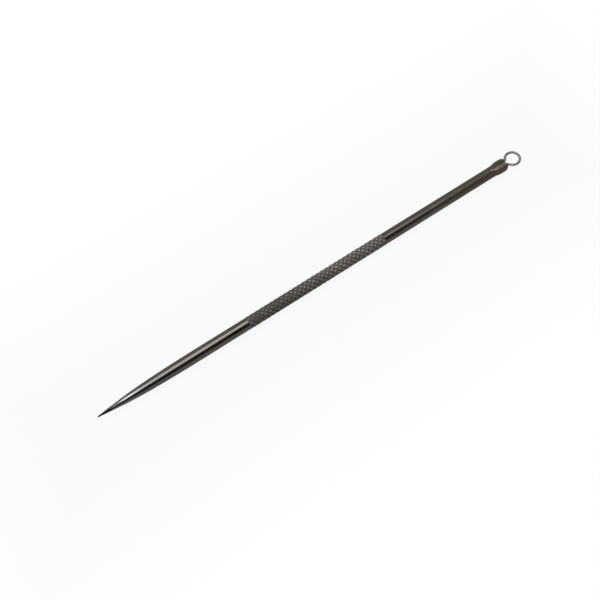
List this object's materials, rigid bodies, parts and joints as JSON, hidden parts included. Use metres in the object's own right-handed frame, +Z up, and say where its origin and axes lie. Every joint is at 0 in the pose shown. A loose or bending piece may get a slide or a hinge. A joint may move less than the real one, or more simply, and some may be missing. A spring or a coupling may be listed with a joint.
{
  "type": "blackhead extractor",
  "caption": "Slim hand tool for skin care: a dark steel bar with a needle point, a diamond-knurled grip and a small round wire loop crimped in its other end.",
  "frame": {"origin": "on the ground under the middle of the tool's length, where the knurl's lowest crests and the crimp's flat underside rest", "axes": "+X along the bar from the needle point towards the loop, +Y across the bar along the loop's width, +Z up, from which the loop leans 6 degrees"},
  "size_m": [0.1198, 0.0042, 0.0029],
  "materials": {
    "dark_steel": "polished dark gunmetal coat, a little brown where it is crimped",
    "spring_wire": "drawn spring wire with a grey satin coat"
  },
  "bodies": {
    "root": {"handle_bar": "dark_steel", "wire_loop": "spring_wire"}
  },
  "joints": []
}
